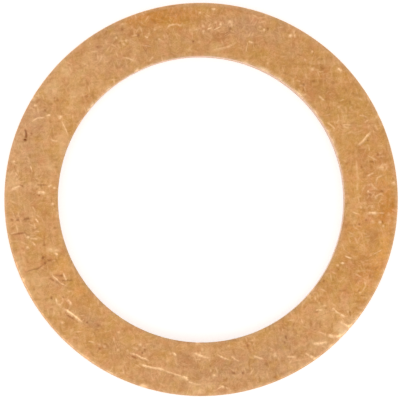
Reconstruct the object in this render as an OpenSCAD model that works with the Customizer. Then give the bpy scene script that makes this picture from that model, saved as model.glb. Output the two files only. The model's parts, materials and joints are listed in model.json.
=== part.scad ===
// Flat copper sealing ring for a drain plug.
// One piece, blanked from soft sheet in a single stroke, so both walls carry the same marks:
// a rounded draw-in at the upper face, a straight sheared land, and a break band that
// draws back towards the lower face, where the burr has been taken off.

/* [Ring] */
// Diameter of the hole, which slips over the thread of the plug
bore_d = 16; // [6:0.1:18]
// Diameter over the outside
outside_d = 22; // [20:0.1:40]
// Thickness of the sheet, before the plug crushes the ring
thickness = 1.5; // [1:0.1:4]

/* [Sheared edges] */
// Radius of the draw-in round the hole
bore_roll_r = 0.07; // [0.05:0.01:0.3]
// Radius of the draw-in round the outside
outside_roll_r = 0.1; // [0.05:0.01:0.3]
// Height of the break band above the lower face
break_h = 0.45; // [0.15:0.05:0.65]
// How far the break band draws back from the sheared land
break_relief = 0.03; // [0.01:0.01:0.1]
// Width of the deburred chamfer at the lower face
deburr = 0.06; // [0.02:0.01:0.12]

/* [Hidden] */
// Faces round each circle
$fn = 180;
// Overlap of a cutting shape past the face that it cuts
cut = 0.01;

bore_r = bore_d / 2;
outside_r = outside_d / 2;

// Radii at which the two walls stand where the deburred chamfers start
bore_break_r = bore_r + break_relief;
outside_break_r = outside_r - break_relief;

// Blanked section to the right of the axis, before its upper corners are rounded
module blanked_section() {
    polygon([
        [bore_break_r + deburr, 0],
        [outside_break_r - deburr, 0],
        [outside_break_r, deburr],
        [outside_r, break_h],
        [outside_r, thickness],
        [bore_r, thickness],
        [bore_r, break_h],
        [bore_break_r, deburr]
    ]);
}

// Waste between a square upper corner and its arc of radius r. The corner is at the
// origin, with the metal to its right and below it.
module corner_waste(r) {
    difference() {
        translate([-cut, -r]) square([r + cut, r + cut]);
        translate([r, -r]) circle(r = r);
    }
}

// Whole section, with the draw-in at both upper corners
module ring_section() {
    difference() {
        blanked_section();
        translate([bore_r, thickness]) corner_waste(bore_roll_r);
        translate([outside_r, thickness]) mirror([1, 0]) corner_waste(outside_roll_r);
    }
}

module seal_ring() {
    color([0.81, 0.6, 0.38]) rotate_extrude() ring_section();
}

seal_ring();
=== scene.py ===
# %% [markdown]
# A copper sealing ring for a drain plug.
#
# The ring is one flat piece of soft copper, punched out of sheet in a single stroke. Its shape is
# plain, so nearly all of its character is in the surface: a tarnished face with hundreds of small
# scratches, dings and dark marks from lying loose in a box, two punched walls with their own marks,
# and a few knocks on the edges. This lesson builds the ring from a section of eight points, carves
# the marks into the mesh as real relief, and then gives every surface its own finish.

# %% Load the ring's frame
import json
import math
import random

import bmesh
import bpy
from mathutils import Matrix, Vector, noise
from mathutils.kdtree import KDTree


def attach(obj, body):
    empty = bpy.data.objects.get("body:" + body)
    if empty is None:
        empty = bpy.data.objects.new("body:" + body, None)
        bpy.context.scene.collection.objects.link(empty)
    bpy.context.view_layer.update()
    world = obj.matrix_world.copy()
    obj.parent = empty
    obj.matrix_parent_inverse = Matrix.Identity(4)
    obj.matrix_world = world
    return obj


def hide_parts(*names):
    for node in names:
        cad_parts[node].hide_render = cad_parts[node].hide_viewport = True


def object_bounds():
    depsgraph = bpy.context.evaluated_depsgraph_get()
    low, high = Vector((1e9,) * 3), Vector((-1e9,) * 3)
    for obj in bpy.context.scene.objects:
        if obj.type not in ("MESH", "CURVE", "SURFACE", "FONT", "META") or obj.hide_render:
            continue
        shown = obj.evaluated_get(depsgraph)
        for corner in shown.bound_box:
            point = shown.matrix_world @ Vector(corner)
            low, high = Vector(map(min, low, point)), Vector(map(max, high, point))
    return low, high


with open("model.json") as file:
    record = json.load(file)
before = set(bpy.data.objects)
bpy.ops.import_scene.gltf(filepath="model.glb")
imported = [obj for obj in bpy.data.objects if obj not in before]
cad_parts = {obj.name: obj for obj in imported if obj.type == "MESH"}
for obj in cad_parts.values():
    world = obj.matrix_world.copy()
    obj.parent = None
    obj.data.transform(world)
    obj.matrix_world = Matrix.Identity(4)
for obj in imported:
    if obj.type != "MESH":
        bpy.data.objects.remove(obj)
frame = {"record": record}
cad_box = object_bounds()
print("box of the ring", [round(v, 6) for corner in cad_box for v in corner])

# %% [markdown]
# The camera comes first, because every later choice is judged through it.
#
# The photograph is taken from almost straight above. The wall of the hole shows as a thin bright
# sliver at the upper right only, so the camera stands a few degrees off the axis, towards the lower
# left. A long lens a hand's span away keeps both circles round. The frame is a little wider than
# the ring, and its middle lies a hair to the lower left of the ring's own middle.

# %% The camera
MM = 0.001
thickness = cad_box[1].z

camera_distance = 230 * MM
camera_tilt = math.radians(3.8)
camera_bearing = math.radians(231)
frame_width = 22.32 * MM
frame_middle = Vector((-0.087 * MM, -0.064 * MM, thickness))

camera_data = bpy.data.cameras.new("camera")
camera = bpy.data.objects.new("camera", camera_data)
bpy.context.collection.objects.link(camera)
bpy.context.scene.camera = camera

back = Vector((
    math.sin(camera_tilt) * math.cos(camera_bearing),
    math.sin(camera_tilt) * math.sin(camera_bearing),
    math.cos(camera_tilt),
))
up = back.cross(Vector((1, 0, 0))).normalized()
right = up.cross(back)
turn = Matrix((right, up, back)).transposed()
camera.matrix_world = Matrix.LocRotScale(frame_middle + back * camera_distance, turn, None)
camera_data.lens = camera_data.sensor_width * camera_distance / frame_width
camera_data.clip_start = 1 * MM
camera_data.clip_end = 10
print("lens", round(camera_data.lens, 1), "mm")

# %% [markdown]
# The section of the ring.
#
# A punch leaves the same marks on every blanked part. The upper corners are drawn in and rounded,
# the wall below them is sheared smooth and straight, and its lowest third breaks away rough and
# leans back a little. The sharp burr at the bottom has been taken off. Eight points in the plane
# through the axis hold all of that. The hole and the heights of its bands come from the frame, so
# that the ring stays true to its solid.

# %% Eight points of the section
outside_r = cad_box[1].x
bore = next(m for m in frame["record"]["mounts"] if m["name"] == "bore")
bore_r = bore["dims"]["r_mm"] * MM
half_land = bore["dims"]["length_mm"] * MM / 2
break_h = bore["pos_m"][2] - half_land
bore_roll = thickness - bore["pos_m"][2] - half_land
outside_roll = 0.1 * MM
break_relief = 0.03 * MM
deburr = 0.06 * MM
small_round = 0.014 * MM

section = [
    (bore_r + break_relief + deburr, 0),
    (outside_r - break_relief - deburr, 0),
    (outside_r - break_relief, deburr),
    (outside_r, break_h),
    (outside_r, thickness),
    (bore_r, thickness),
    (bore_r, break_h),
    (bore_r + break_relief, deburr),
]

mesh = bmesh.new()
points = [mesh.verts.new((r, 0, z)) for r, z in section]
for here, there in zip(points, points[1:] + points[:1]):
    mesh.edges.new((here, there))
print("section of", len(mesh.verts), "points")

# %% [markdown]
# From section to ring.
#
# The section is spun once round the axis, and the last step is merged with the first so that no
# seam stays open. The two upper corners are then bevelled to their draw-in, and the deburred
# corners get a very small round, because no real edge is perfectly sharp.

# %% Spin the section and round its corners
STEPS = 384

bmesh.ops.spin(
    mesh,
    geom=mesh.verts[:] + mesh.edges[:],
    cent=(0, 0, 0),
    axis=(0, 0, 1),
    angle=math.tau,
    steps=STEPS,
    use_merge=True,
)


def radius_of(point):
    """How far a point lies from the axis of the ring."""
    return math.hypot(point.x, point.y)


def loop_at(r, z):
    """The edges that run round the ring at one radius and height."""
    near = 0.002 * MM
    return [
        e for e in mesh.edges
        if all(abs(radius_of(v.co) - r) < near and abs(v.co.z - z) < near for v in e.verts)
    ]


def round_corner(corner, size, segments):
    """Rounds the corner of the section at (radius, height)."""
    bmesh.ops.bevel(
        mesh,
        geom=loop_at(*corner),
        offset=size,
        offset_type="OFFSET",
        affect="EDGES",
        segments=segments,
        profile=0.5,
        material=-1,
    )


round_corner((outside_r, thickness), outside_roll, segments=7)
round_corner((bore_r, thickness), bore_roll, segments=6)
for corner in section[:3] + section[7:]:
    round_corner(corner, small_round, segments=2)
print("spun ring of", len(mesh.faces), "faces")

# %% [markdown]
# Rows across the faces and walls.
#
# The spin leaves each face as one band of long quads. Relief needs points to move, so each band is
# cut into rows about as wide as the quads are long.

# %% Cut the bands into rows
row_width = 0.16 * MM
no_turn = 0.0001


def edges_across():
    """The edges that run across a band, sorted by how many rows they need."""
    wanted = {}
    for e in mesh.edges:
        a, b = (v.co for v in e.verts)
        turn = abs(math.atan2(a.y, a.x) - math.atan2(b.y, b.x))
        rows = round(e.calc_length() / row_width)
        if turn < no_turn and rows > 1:
            wanted.setdefault(rows, []).append(e)
    return wanted


for rows, edges in sorted(edges_across().items()):
    bmesh.ops.subdivide_edges(mesh, edges=edges, cuts=rows - 1, use_grid_fill=True)
bmesh.ops.recalc_face_normals(mesh, faces=mesh.faces)
print("ring with rows:", len(mesh.faces), "faces")

# %% [markdown]
# The marks that can be seen in the photograph.
#
# Each scratch is a few points on the upper face, in millimetres with X to the right and Y up,
# together with its width, its depth, how bare the copper is inside it, and how much painted shade
# darkens its two sides. A ding is a single point, and its depth follows from its width. A dark mark
# is shallow, and it is filled with dirt. The lists are read off the photograph, from the middle of
# the outline. The outline takes in a little of the outer wall at the lower left, so its middle lies a
# hair off the middle of the upper face, and every mark is shifted by as much when it is placed.

# %% Scratches on the upper face
# width, depth, bare, painted shade along both sides, points
scratches = [
    # The brightest scratch, at the lower left
    (0.130, 0.014, 1.00, 0.20, [(-7.66, -6.10), (-7.30, -6.34), (-6.95, -6.60), (-6.64, -6.86)]),
    # A finer one above it, which fades towards the hole
    (0.070, 0.008, 0.80, 0.20, [(-8.28, -4.28), (-8.05, -4.45), (-7.85, -4.66), (-7.55, -4.82)]),
    # The long scratch across the foot of the ring
    (0.100, 0.010, 0.95, 0.10, [(-3.42, -9.20), (-3.10, -9.30), (-2.75, -9.39), (-2.30, -9.46),
                                (-2.00, -9.57)]),
    (0.080, 0.009, 0.75, 0.10, [(-2.00, -9.57), (-1.50, -9.75), (-1.02, -9.90)]),
    (0.140, 0.007, 1.00, 0.00, [(-1.02, -9.90), (-0.83, -9.98), (-0.76, -10.16)]),
    (0.090, 0.006, 0.80, 0.05, [(-0.76, -10.16), (-0.42, -10.28), (-0.18, -10.34)]),
    (0.100, 0.010, 0.75, 0.20, [(-3.90, -8.60), (-3.60, -8.68), (-3.35, -8.83), (-3.15, -8.88),
                                (-2.92, -9.00)]),
    (0.100, 0.009, 0.90, 0.05, [(-0.50, -8.58), (-0.30, -8.63), (-0.10, -8.72), (0.15, -8.80),
                                (0.42, -8.85)]),
    (0.080, 0.008, 0.80, 0.05, [(0.92, -8.68), (1.10, -8.78), (1.27, -8.87), (1.62, -8.99)]),
    (0.070, 0.007, 0.50, 0.00, [(1.72, -8.82), (2.12, -9.06)]),
    (0.090, 0.009, 0.70, 0.05, [(2.92, -8.74), (3.20, -8.85), (3.44, -8.91)]),
    # Three gouges that run out over the outer edge at the lower right
    (0.120, 0.014, 1.00, 0.10, [(7.75, -6.84), (8.08, -7.04), (8.24, -7.18)]),
    (0.145, 0.014, 1.00, 0.10, [(7.10, -7.60), (7.45, -7.68), (7.75, -7.70)]),
    (0.125, 0.012, 1.00, 0.10, [(6.20, -8.07), (6.65, -8.07), (7.06, -8.00)]),
    (0.080, 0.009, 0.65, 0.00, [(5.82, -8.58), (6.05, -8.74)]),
    (0.120, 0.009, 1.00, 0.00, [(6.05, -8.74), (6.38, -8.92)]),
    (0.070, 0.008, 0.85, 0.05, [(7.40, -6.13), (7.55, -6.28), (7.80, -6.44)]),
    (0.090, 0.009, 1.00, 0.05, [(7.80, -6.44), (8.02, -6.56)]),
    (0.080, 0.007, 0.65, 0.00, [(6.42, -6.20), (6.82, -6.20)]),
    (0.095, 0.008, 1.00, 0.05, [(7.85, -3.58), (8.02, -3.58)]),
    (0.060, 0.006, 0.80, 0.05, [(8.05, -3.18), (8.42, -3.32)]),
    (0.070, 0.006, 0.40, 0.05, [(8.58, -4.15), (8.96, -4.36)]),
    # The level scratch at the right
    (0.130, 0.011, 0.95, 0.15, [(9.36, -0.77), (9.60, -0.78), (9.85, -0.78)]),
    (0.075, 0.007, 0.50, 0.05, [(9.85, -0.78), (10.27, -0.78)]),
    (0.080, 0.008, 0.65, 0.05, [(8.47, -0.68), (8.62, -0.78), (8.90, -0.87)]),
    (0.100, 0.007, 0.45, 0.05, [(9.35, 0.78), (9.55, 0.85), (9.70, 0.65), (9.90, 0.52)]),
    (0.060, 0.006, 0.40, 0.10, [(9.32, 2.46), (9.84, 2.18)]),
    (0.080, 0.005, 0.30, 0.00, [(8.72, 2.10), (8.76, 1.50), (8.85, 1.05)]),
    (0.080, 0.005, 0.30, 0.00, [(8.78, 0.95), (8.75, 0.45)]),
    # The slanting scratch at the upper right
    (0.115, 0.011, 0.78, 0.20, [(8.82, 3.02), (9.10, 3.24), (9.30, 3.50), (9.55, 3.78)]),
    (0.080, 0.008, 0.40, 0.00, [(7.06, 4.30), (7.30, 4.14), (7.56, 3.90)]),
    (0.120, 0.012, 1.00, 0.10, [(7.68, 7.33), (7.92, 7.18)]),
    (0.090, 0.008, 0.65, 0.05, [(6.63, 5.77), (6.92, 5.54)]),
    (0.060, 0.006, 0.45, 0.05, [(7.82, 5.50), (8.02, 5.60)]),
    (0.090, 0.008, 0.65, 0.10, [(2.70, 8.83), (2.92, 8.75)]),
    (0.070, 0.007, 0.75, 0.05, [(3.58, 9.56), (3.56, 9.38)]),
    (0.095, 0.005, 0.35, 0.00, [(0.60, 8.30), (0.95, 8.40), (1.50, 8.50), (1.95, 8.75)]),
    (0.110, 0.009, 1.00, 0.05, [(0.64, 10.65), (0.84, 10.64)]),
    (0.085, 0.007, 0.60, 0.05, [(-1.88, 9.56), (-1.72, 9.74), (-1.32, 9.80), (-1.10, 9.70)]),
    (0.120, 0.006, 0.45, 0.00, [(-0.60, 9.48), (-0.06, 9.52), (0.05, 9.49)]),
    (0.060, 0.006, 0.90, 0.05, [(0.40, 9.52), (0.62, 9.60)]),
    (0.060, 0.006, 0.60, 0.05, [(-3.12, 9.11), (-2.92, 9.03)]),
    (0.070, 0.006, 0.60, 0.05, [(-4.35, 7.94), (-4.02, 7.88), (-3.72, 7.74)]),
    # The two bright strokes at the upper left
    (0.070, 0.008, 0.95, 0.10, [(-9.40, 4.36), (-9.12, 4.52), (-8.95, 4.53), (-8.74, 4.56)]),
    (0.100, 0.009, 1.00, 0.05, [(-8.60, 4.66), (-8.38, 4.70)]),
    (0.060, 0.006, 0.60, 0.00, [(-7.78, 4.38), (-7.60, 4.02), (-7.40, 3.60)]),
    (0.120, 0.010, 0.80, 0.05, [(-9.30, 5.23), (-9.10, 5.23)]),
    (0.090, 0.007, 0.50, 0.05, [(-8.36, 3.34), (-8.18, 3.24), (-7.98, 3.24)]),
    # The level stroke at the left
    (0.140, 0.012, 1.00, 0.15, [(-9.08, 0.38), (-8.70, 0.36)]),
    (0.100, 0.008, 1.00, 0.10, [(-10.54, 0.54), (-10.30, 0.65), (-10.05, 0.73)]),
    (0.080, 0.007, 0.85, 0.05, [(-8.50, 0.70), (-8.32, 0.80)]),
    (0.110, 0.007, 1.00, 0.05, [(-8.22, 0.60), (-8.08, 0.64)]),
    (0.080, 0.008, 1.00, 0.05, [(-9.22, -1.08), (-9.07, -1.28)]),
    (0.060, 0.006, 0.65, 0.10, [(-9.26, -1.80), (-8.98, -1.80)]),
    (0.060, 0.006, 0.50, 0.10, [(-10.60, -1.92), (-10.30, -1.85)]),
    (0.090, 0.009, 0.45, 0.05, [(-9.40, -2.40), (-9.24, -2.58)]),
    (0.120, 0.010, 0.95, 0.10, [(-8.14, -2.98), (-8.00, -3.14)]),
    (0.130, 0.009, 0.70, 0.10, [(-7.45, -5.58), (-7.20, -5.90)]),
    (0.090, 0.007, 0.75, 0.10, [(-8.08, -5.50), (-8.02, -5.84)]),
    (0.080, 0.008, 0.40, 0.10, [(-6.28, -7.93), (-5.94, -7.98)]),
    # Fainter ones, from the right and round against the clock
    (0.070, 0.006, 0.45, 0.05, [(9.80, 0.85), (9.88, 1.20), (10.00, 1.25), (10.22, 1.35)]),
    (0.075, 0.006, 0.40, 0.00, [(9.75, 0.10), (9.95, 0.25), (10.10, 0.30), (10.25, 0.15)]),
    (0.130, 0.006, 0.35, 0.00, [(9.60, -0.32), (9.62, -0.52)]),
    (0.130, 0.006, 0.40, 0.00, [(10.50, -0.77), (10.50, -0.93)]),
    (0.065, 0.006, 0.45, 0.05, [(9.30, 3.05), (9.45, 3.00)]),
    (0.055, 0.005, 0.55, 0.00, [(9.40, 3.00), (9.45, 2.70)]),
    (0.070, 0.005, 0.60, 0.00, [(8.90, 4.70), (9.10, 4.68), (9.30, 4.60)]),
    (0.065, 0.006, 0.60, 0.00, [(9.20, 4.30), (9.40, 4.45)]),
    (0.075, 0.006, 0.40, 0.00, [(7.90, 4.16), (8.50, 4.15)]),
    (0.060, 0.006, 0.35, 0.00, [(7.95, 4.04), (8.45, 4.03)]),
    (0.065, 0.006, 0.40, 0.00, [(8.35, 5.10), (8.50, 5.20)]),
    (0.075, 0.006, 0.40, 0.00, [(3.30, 9.43), (3.50, 9.42)]),
    (0.075, 0.007, 0.55, 0.05, [(5.40, 6.65), (5.60, 6.60)]),
    (0.060, 0.005, 0.40, 0.00, [(6.60, 7.20), (6.72, 7.13), (6.86, 7.16)]),
    (0.060, 0.005, 0.30, 0.00, [(-0.45, 9.00), (-0.45, 9.35)]),
    (0.060, 0.005, 0.35, 0.00, [(-3.75, 8.05), (-3.60, 8.10)]),
    (0.055, 0.004, 0.25, 0.00, [(-4.60, 8.84), (-3.80, 8.90)]),
    (0.065, 0.005, 0.40, 0.00, [(-6.25, 6.30), (-6.20, 5.90)]),
    (0.055, 0.005, 0.45, 0.00, [(-10.35, 1.50), (-10.20, 1.30)]),
    (0.070, 0.006, 0.45, 0.00, [(-9.40, -0.40), (-9.20, -0.75)]),
    (0.090, 0.006, 0.35, 0.00, [(-4.85, -7.70), (-4.85, -7.95)]),
    (0.095, 0.007, 0.45, 0.05, [(-3.85, -8.28), (-3.50, -8.38)]),
    (0.110, 0.009, 0.85, 0.05, [(-1.56, -8.57), (-1.40, -8.72)]),
    (0.080, 0.004, 0.25, 0.00, [(0.48, -8.75), (0.46, -9.05)]),
    (0.070, 0.004, 0.65, 0.00, [(0.52, -9.48), (0.54, -9.62)]),
    (0.100, 0.005, 0.45, 0.00, [(0.08, -8.28), (0.08, -8.48)]),
    (0.120, 0.008, 0.80, 0.10, [(1.06, -10.44), (1.28, -10.47)]),
    (0.090, 0.006, 0.50, 0.00, [(1.38, -10.50), (1.52, -10.57)]),
    (0.140, 0.005, 0.55, 0.00, [(4.15, -8.56), (4.15, -8.82)]),
    (0.070, 0.005, 0.30, 0.00, [(3.72, -8.25), (4.00, -8.40)]),
    (0.130, 0.005, 0.15, 0.00, [(5.20, -8.45), (5.75, -8.05)]),
    (0.085, 0.006, 0.40, 0.00, [(6.50, -7.45), (6.72, -7.46), (6.98, -7.58)]),
    (0.100, 0.006, 0.40, 0.00, [(6.37, -5.40), (6.40, -5.65)]),
    (0.120, 0.007, 0.40, 0.00, [(9.02, -5.50), (9.30, -5.56)]),
    (0.070, 0.005, 0.35, 0.00, [(9.10, -4.45), (9.25, -4.58), (9.20, -4.75)]),
    (0.080, 0.005, 0.45, 0.00, [(6.80, -5.98), (6.98, -5.92)]),
    (0.090, 0.005, 0.30, 0.00, [(9.80, 1.76), (10.25, 1.77)]),
]

# %% Dings on the upper face
# x, y, width, bare, painted shade round the ding
dings = [
    (-7.87, 4.62, 0.130, 1.00, 0.00),
    (-7.81, 4.60, 0.130, 1.00, 0.00),
    (-7.83, 4.55, 0.130, 1.00, 0.00),
    (-9.63, -2.13, 0.140, 0.80, 0.10),
    (-0.97, -9.93, 0.130, 1.00, 0.00),
    (-0.86, -9.98, 0.130, 0.62, 0.00),
    (-5.66, -8.13, 0.150, 0.60, 0.15),
    (-5.37, -8.20, 0.150, 0.55, 0.15),
    (-4.64, -8.42, 0.140, 0.40, 0.00),
    (-4.10, -8.45, 0.115, 0.40, 0.05),
    (-4.60, -7.44, 0.140, 0.35, 0.05),
    (-7.75, -6.88, 0.160, 0.45, 0.05),
    (-3.40, -8.12, 0.140, 0.70, 0.10),
    (-3.20, -8.26, 0.115, 0.45, 0.15),
    (-1.84, -9.02, 0.140, 0.45, 0.00),
    (0.72, -9.84, 0.160, 0.50, 0.05),
    (1.75, -8.82, 0.140, 0.30, 0.05),
    (4.35, -8.95, 0.140, 0.25, 0.05),
    (7.40, -6.14, 0.140, 0.75, 0.10),
    (7.64, -3.70, 0.125, 0.80, 0.10),
    (10.03, -1.30, 0.140, 0.80, 0.20),
    (10.20, -1.50, 0.115, 0.90, 0.05),
    (8.97, -0.47, 0.125, 0.60, 0.00),
    (9.38, 0.43, 0.125, 0.70, 0.15),
    (9.78, 0.10, 0.115, 0.50, 0.05),
    (10.06, 2.58, 0.115, 0.50, 0.10),
    (10.17, 1.77, 0.130, 0.58, 0.00),
    (6.27, 7.28, 0.140, 0.75, 0.05),
    (7.73, 5.17, 0.125, 0.50, 0.05),
    (6.26, 8.28, 0.125, 0.50, 0.05),
    (5.86, 7.80, 0.115, 0.70, 0.05),
    (6.14, 7.66, 0.115, 0.40, 0.05),
    (5.05, 9.16, 0.150, 1.00, 0.10),
    (5.21, 9.38, 0.140, 0.55, 0.10),
    (3.35, 9.66, 0.140, 0.35, 0.10),
    (3.76, 7.60, 0.140, 0.45, 0.05),
    (1.67, 9.94, 0.160, 0.75, 0.05),
    (1.12, 9.77, 0.150, 1.00, 0.10),
    (0.84, 9.89, 0.140, 0.50, 0.05),
    (0.17, 9.68, 0.140, 0.65, 0.10),
    (0.17, 9.40, 0.140, 0.65, 0.10),
    (-0.02, 10.42, 0.160, 0.55, 0.05),
    (-2.30, 8.96, 0.115, 0.55, 0.05),
    (-2.87, 9.26, 0.115, 0.30, 0.05),
    (-4.34, 9.81, 0.125, 0.50, 0.05),
    (-4.70, 9.03, 0.125, 0.50, 0.05),
    (-4.15, 8.86, 0.125, 0.50, 0.05),
    (-4.30, 8.68, 0.125, 0.50, 0.05),
    (-5.53, 7.95, 0.125, 0.45, 0.05),
    (-6.23, 5.80, 0.125, 0.25, 0.05),
    (-8.24, -0.28, 0.150, 0.80, 0.05),
    (-10.42, 2.10, 0.140, 0.80, 0.05),
    (-9.66, -2.70, 0.160, 0.70, 0.05),
    (9.95, -0.40, 0.140, 0.12, 0.00),
    (9.60, -1.25, 0.180, 0.35, 0.00),
    (10.80, 0.90, 0.150, 0.80, 0.00),
    (10.60, -1.20, 0.140, 0.20, 0.00),
    (9.90, 3.90, 0.160, 0.15, 0.00),
    (9.85, 4.60, 0.160, 0.45, 0.00),
    (5.30, 9.15, 0.140, 0.70, 0.00),
    (-0.10, 8.80, 0.140, 0.25, 0.00),
    (-0.90, 10.65, 0.130, 0.25, 0.00),
    (-2.55, 9.50, 0.120, 0.40, 0.00),
    (-8.55, 0.10, 0.120, 0.40, 0.00),
    (-10.25, 1.10, 0.120, 0.40, 0.00),
    (-8.38, -2.83, 0.170, 0.50, 0.00),
    (-8.05, -2.88, 0.170, 0.45, 0.00),
    (-7.83, -2.58, 0.140, 0.20, 0.00),
    (-7.89, -5.88, 0.120, 0.75, 0.00),
    (-4.40, -9.70, 0.120, 0.40, 0.00),
    (-4.15, -9.65, 0.120, 0.30, 0.00),
    (-1.71, -8.63, 0.120, 0.45, 0.00),
    (1.55, -8.20, 0.140, 0.30, 0.00),
    (1.80, -9.85, 0.130, 0.30, 0.00),
    (6.60, -5.80, 0.120, 0.30, 0.00),
    (8.20, -6.30, 0.120, 0.40, 0.00),
    (9.05, -3.55, 0.120, 0.35, 0.00),
    (8.88, -5.25, 0.140, 0.42, 0.00),
]

# %% Dark marks on the upper face
# width, dirt, points
dark_marks = [
    # The black hook at the upper left
    (0.170, 0.70, [(-9.79, 3.93), (-9.72, 3.62), (-9.75, 3.36)]),
    (0.145, 0.95, [(-9.88, 3.32), (-9.70, 3.32)]),
    (0.200, 0.55, [(-10.30, -1.13), (-10.10, -1.12)]),
    (0.200, 0.50, [(-9.90, -1.12), (-9.52, -1.06)]),
    (0.140, 0.42, [(-10.55, -2.00), (-10.30, -1.94), (-9.82, -1.86), (-9.54, -2.05)]),
    (0.120, 0.40, [(-10.10, 0.82), (-9.90, 0.71)]),
    (0.180, 0.45, [(-9.02, 0.24), (-8.97, 0.20)]),
    (0.260, 0.60, [(-8.86, -3.22), (-8.74, -3.30)]),
    (0.205, 0.50, [(-8.70, -3.55)]),
    (0.160, 0.35, [(-8.55, -3.42), (-8.34, -3.40)]),
    (0.155, 0.30, [(-8.14, -4.22), (-7.68, -4.25)]),
    (0.155, 0.40, [(-7.80, -4.53), (-7.10, -4.50)]),
    (0.160, 0.45, [(-8.44, -4.38), (-8.16, -4.55)]),
    (0.140, 0.45, [(-7.46, -6.44), (-7.08, -6.68)]),
    (0.200, 0.55, [(-6.40, -6.84), (-6.28, -6.88)]),
    (0.220, 0.40, [(-5.72, -7.03)]),
    (0.185, 0.40, [(-5.65, -8.32)]),
    (0.140, 0.40, [(-3.88, -8.74), (-3.58, -8.86)]),
    (0.160, 0.30, [(-0.72, -8.75)]),
    (0.185, 0.30, [(0.52, -9.22), (0.52, -9.36)]),
    (0.180, 0.45, [(1.72, -9.66), (1.92, -9.70)]),
    (0.180, 0.44, [(2.32, -9.60), (2.33, -9.76)]),
    (0.405, 0.32, [(3.66, -9.10), (3.72, -9.30)]),
    (0.200, 0.42, [(4.74, -7.58), (4.74, -7.80)]),
    (0.220, 0.45, [(4.68, -7.92), (4.66, -8.06)]),
    (0.150, 0.26, [(1.12, -9.48), (1.20, -9.52)]),
    (0.140, 0.24, [(1.66, -9.10), (1.66, -9.24)]),
    (0.170, 0.34, [(1.24, -10.07)]),
    (0.120, 0.22, [(1.77, -10.14), (1.78, -10.26)]),
    (0.160, 0.45, [(10.16, -1.22), (10.16, -1.34)]),
    (0.170, 0.38, [(8.86, -1.39)]),
    (0.160, 0.45, [(9.18, -1.15), (9.32, -1.17)]),
    (0.180, 0.38, [(9.44, 2.13), (9.76, 2.09)]),
    (0.160, 0.35, [(9.00, 1.86), (9.00, 1.72)]),
    (0.160, 0.50, [(9.46, 0.27)]),
    (0.185, 0.45, [(10.05, 0.45), (10.25, 0.47)]),
    (0.160, 0.40, [(5.76, 6.10)]),
    (0.220, 0.50, [(5.78, 6.42)]),
    (0.180, 0.35, [(6.22, 6.60), (6.50, 6.64)]),
    (0.295, 0.30, [(6.85, 7.36)]),
    (0.160, 0.30, [(7.42, 6.54)]),
    (0.180, 0.35, [(3.76, 9.55)]),
    (0.275, 0.35, [(1.66, 9.55)]),
    (0.180, 0.55, [(-0.40, 8.84)]),
    (0.250, 0.55, [(-3.55, 9.20), (-3.38, 9.17)]),
    (0.205, 0.40, [(-4.37, 9.50)]),
    (0.275, 0.40, [(-5.76, 8.60), (-5.66, 8.44)]),
    (0.210, 0.50, [(-8.74, 4.98), (-8.60, 4.96)]),
    (0.185, 0.40, [(-7.98, 5.55)]),
    (0.120, 0.30, [(-8.16, 5.72), (-8.14, 5.42)]),
    (0.155, 0.40, [(-9.44, 3.68)]),
    (0.130, 0.05, [(9.00, 3.50)]),
    (0.170, 0.55, [(9.35, 3.30)]),
    (0.155, 0.30, [(7.10, 6.20)]),
    (0.155, 0.30, [(8.10, 6.70)]),
    (0.100, 0.20, [(5.40, 8.12), (5.75, 8.05)]),
    (0.130, 0.25, [(4.60, 7.10), (4.90, 7.00)]),
    (0.110, 0.30, [(-6.50, 7.40), (-6.35, 7.55)]),
    (0.110, 0.50, [(-9.15, 0.80), (-8.60, 0.80)]),
    (0.190, 0.40, [(-10.62, -1.16), (-10.42, -1.14)]),
    (0.210, 0.40, [(-8.10, -1.60)]),
    (0.120, 0.40, [(-9.78, -4.05), (-9.40, -3.93), (-9.05, -3.85), (-8.75, -3.62)]),
    (0.130, 0.30, [(-8.72, -2.00), (-8.72, -2.62)]),
    (0.140, 0.28, [(-9.35, -1.70), (-9.05, -1.62)]),
    (0.130, 0.40, [(-7.72, -5.42), (-7.62, -5.48)]),
    (0.160, 0.55, [(-8.32, -5.40), (-8.32, -5.60)]),
    (0.130, 0.30, [(-9.30, -4.92), (-9.30, -5.08)]),
    (0.160, 0.48, [(-3.27, -8.55)]),
    (0.170, 0.45, [(-3.15, -8.36)]),
    (0.220, 0.40, [(2.52, -8.14), (2.66, -8.16)]),
    (0.200, 0.45, [(4.13, -9.92)]),
    (0.155, 0.35, [(7.70, -3.90)]),
    (0.155, 0.30, [(9.45, -4.25)]),
    (0.150, 0.30, [(8.82, -5.06), (8.83, -5.18)]),
    (0.120, 0.26, [(8.90, -5.37), (9.18, -5.38)]),
    (0.130, 0.26, [(9.28, -4.90)]),
    (0.220, 0.20, [(9.18, -5.24)]),
    (0.120, 0.26, [(6.38, -6.29), (6.58, -6.26)]),
    (0.140, 0.26, [(6.92, -6.08), (7.06, -6.07)]),
    (0.130, 0.30, [(7.12, -6.24), (7.32, -6.24)]),
    (0.110, 0.20, [(6.63, -6.80), (6.65, -7.20)]),
    (0.150, 0.24, [(6.36, -7.27)]),
    (0.110, 0.18, [(7.07, -6.88), (7.09, -7.12)]),
    (0.130, 0.20, [(7.28, -6.94), (7.40, -6.92)]),
    (0.150, 0.24, [(5.20, -6.85), (5.15, -7.20), (5.35, -7.50), (5.80, -7.55)]),
    (0.140, 0.32, [(8.32, -6.28), (8.29, -6.36)]),
    (0.170, 0.42, [(6.90, -4.50), (6.82, -4.64)]),
    # A faint net of lines at the right
    (0.150, 0.34, [(9.84, 2.64), (9.94, 2.60)]),
    (0.160, 0.36, [(9.85, 2.50), (9.99, 2.47)]),
    (0.160, 0.18, [(10.10, 2.32)]),
    (0.130, 0.18, [(9.04, 2.15), (9.20, 2.13)]),
]
print(len(scratches), "scratches,", len(dings), "dings and", len(dark_marks), "dark marks by hand")

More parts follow.
